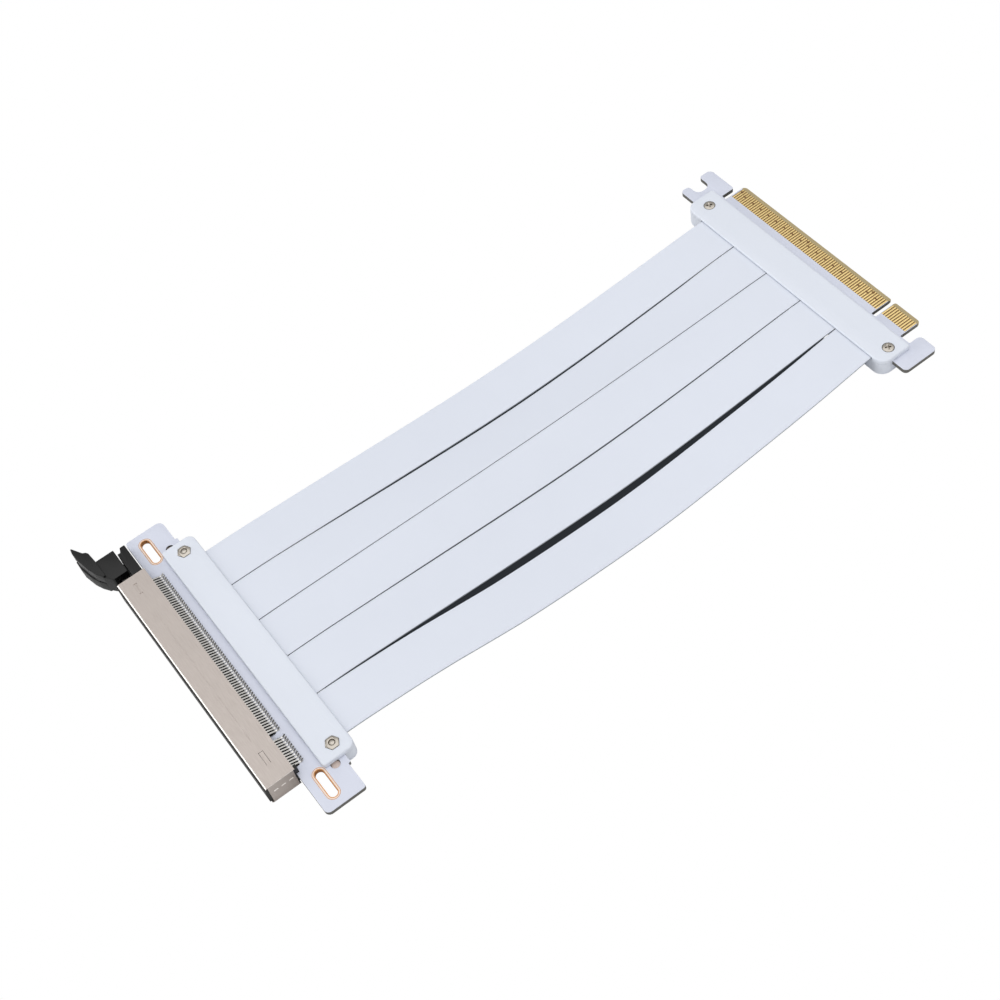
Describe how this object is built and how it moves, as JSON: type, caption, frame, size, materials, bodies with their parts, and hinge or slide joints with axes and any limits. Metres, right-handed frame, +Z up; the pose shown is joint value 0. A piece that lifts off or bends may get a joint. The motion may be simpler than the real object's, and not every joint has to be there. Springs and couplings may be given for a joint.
{
  "type": "gpu riser cable",
  "caption": "A white ribbon riser cable with a steel-shelled card slot on a small board at one end and a gold card edge plug at the other.",
  "frame": {"origin": "on the surface that the cable lies on, under the middle of the slot end's cover", "axes": "+X along the slot away from the latch, +Y along the ribbons from the slot to the plug, +Z up"},
  "size_m": [0.1283, 0.2592, 0.009],
  "materials": {
    "board_white": "white solder mask over glass fibre board",
    "black_plastic": "moulded black plastic",
    "steel": "brushed folded sheet",
    "cover_white": "moulded white plastic",
    "ribbon_white": "flexible white jacket",
    "nickel": "nickel plated"
  },
  "bodies": {
    "root": {"slot_board": "board_white", "slot_housing": "black_plastic", "slot_shield": "steel", "plug_board": "board_white", "slot_upper_cover": "cover_white", "slot_lower_cover": "cover_white", "plug_upper_cover": "cover_white", "plug_lower_cover": "cover_white", "slot_screw_left": "nickel", "slot_screw_right": "nickel", "slot_nut_left": "nickel", "slot_nut_right": "nickel", "plug_screw_left": "nickel", "plug_screw_right": "nickel", "plug_nut_left": "nickel", "plug_nut_right": "nickel", "ribbon_1": "ribbon_white", "ribbon_2": "ribbon_white", "ribbon_3": "ribbon_white", "ribbon_4": "ribbon_white", "ribbon_5": "ribbon_white"},
    "lever": {"latch_lever": "black_plastic"}
  },
  "joints": [
    {"name": "latch", "type": "hinge", "parent": "root", "child": "lever", "pos_m": [-0.0495, -0.0189, 0.0045], "axis": [0, 0, 1], "range_deg": [0, 15]}
  ]
}
